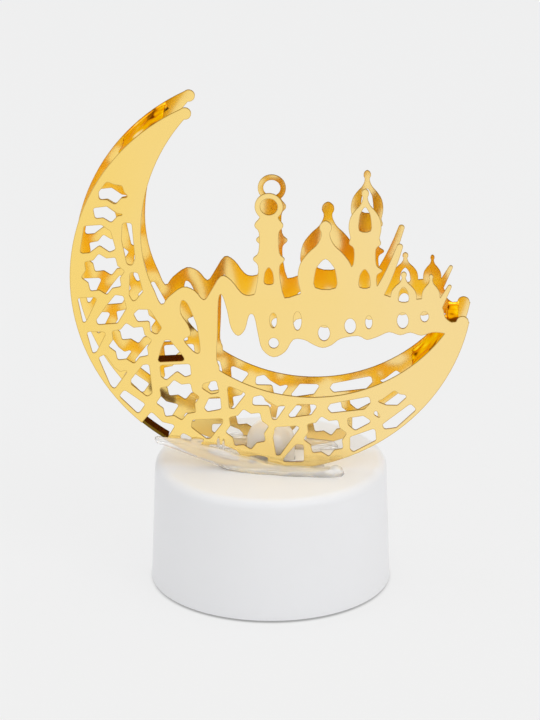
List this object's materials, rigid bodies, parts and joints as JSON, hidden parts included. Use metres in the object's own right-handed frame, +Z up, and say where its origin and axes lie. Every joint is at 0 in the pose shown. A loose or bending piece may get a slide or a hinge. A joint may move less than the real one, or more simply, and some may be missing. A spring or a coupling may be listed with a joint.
{
  "type": "eid crescent ornament",
  "caption": "Free-standing ornament: parallel pierced gilt crescent sheets with a skyline band between the horns, on a round white battery lamp base",
  "frame": {"origin": "centre of the bounding box's floor, on the base's axis, level with the soles of the rubber feet", "axes": "+Z up through the lamp base and the crescents; +X to the right along the sheets; the front sheet faces -Y"},
  "size_m": [0.1229, 0.0748, 0.1576],
  "materials": {
    "sheet_gold": "satin mirror gilt",
    "strip_gold": "bright gilt, creased",
    "lug_bronze": "dark bronze edge",
    "clear_glue": "clear set glue, slightly milky",
    "base_white": "white, satin",
    "clear_lens": "clear moulded lens",
    "board_green": "solder mask",
    "led_clear": "clear resin",
    "resistor_tan": "lacquered",
    "screw_steel": "zinc plated",
    "foot_rubber": "soft, pale grey",
    "tray_black": "moulded",
    "cell_jacket": "plain foil jacket",
    "spring_steel": "nickel plated",
    "contact_plate": "nickel plated",
    "switch_grey": "tin plated",
    "knob_black": "moulded",
    "lead_red": "soft jacket",
    "lead_black": "soft jacket",
    "lead_white": "soft jacket"
  },
  "bodies": {
    "ornament": {"front_crescent": "sheet_gold", "rear_crescent": "sheet_gold", "bridge_upper_left": "strip_gold", "bridge_right_rim": "strip_gold", "bridge_right_notch": "strip_gold", "lug_inner_left": "lug_bronze", "lug_lower_left": "lug_bronze", "glue_front": "clear_glue", "glue_rear": "clear_glue", "base_shell": "base_white", "light_lens": "clear_lens", "led_board": "board_green", "led_lamp": "led_clear", "board_resistor": "resistor_tan", "bottom_cover": "base_white", "cover_screws": "screw_steel", "rubber_feet": "foot_rubber", "battery_tray": "tray_black", "cell_left": "cell_jacket", "cell_middle": "cell_jacket", "cell_right": "cell_jacket", "cell_springs": "spring_steel", "contact_plates": "contact_plate", "switch_body": "switch_grey", "lead_red": "lead_red", "lead_black": "lead_black", "lead_white": "lead_white"},
    "cover": {"battery_cover": "base_white"},
    "knob": {"switch_knob": "knob_black"}
  },
  "joints": [
    {"name": "battery_cover_turn", "type": "hinge", "parent": "ornament", "child": "cover", "pos_m": [0, 0, 0.002], "axis": [0, 0, 1], "range_deg": [0, 40]},
    {"name": "switch_slide", "type": "slide", "parent": "ornament", "child": "knob", "axis": [1, 0, 0], "range_m": [0, 0.0025]}
  ]
}
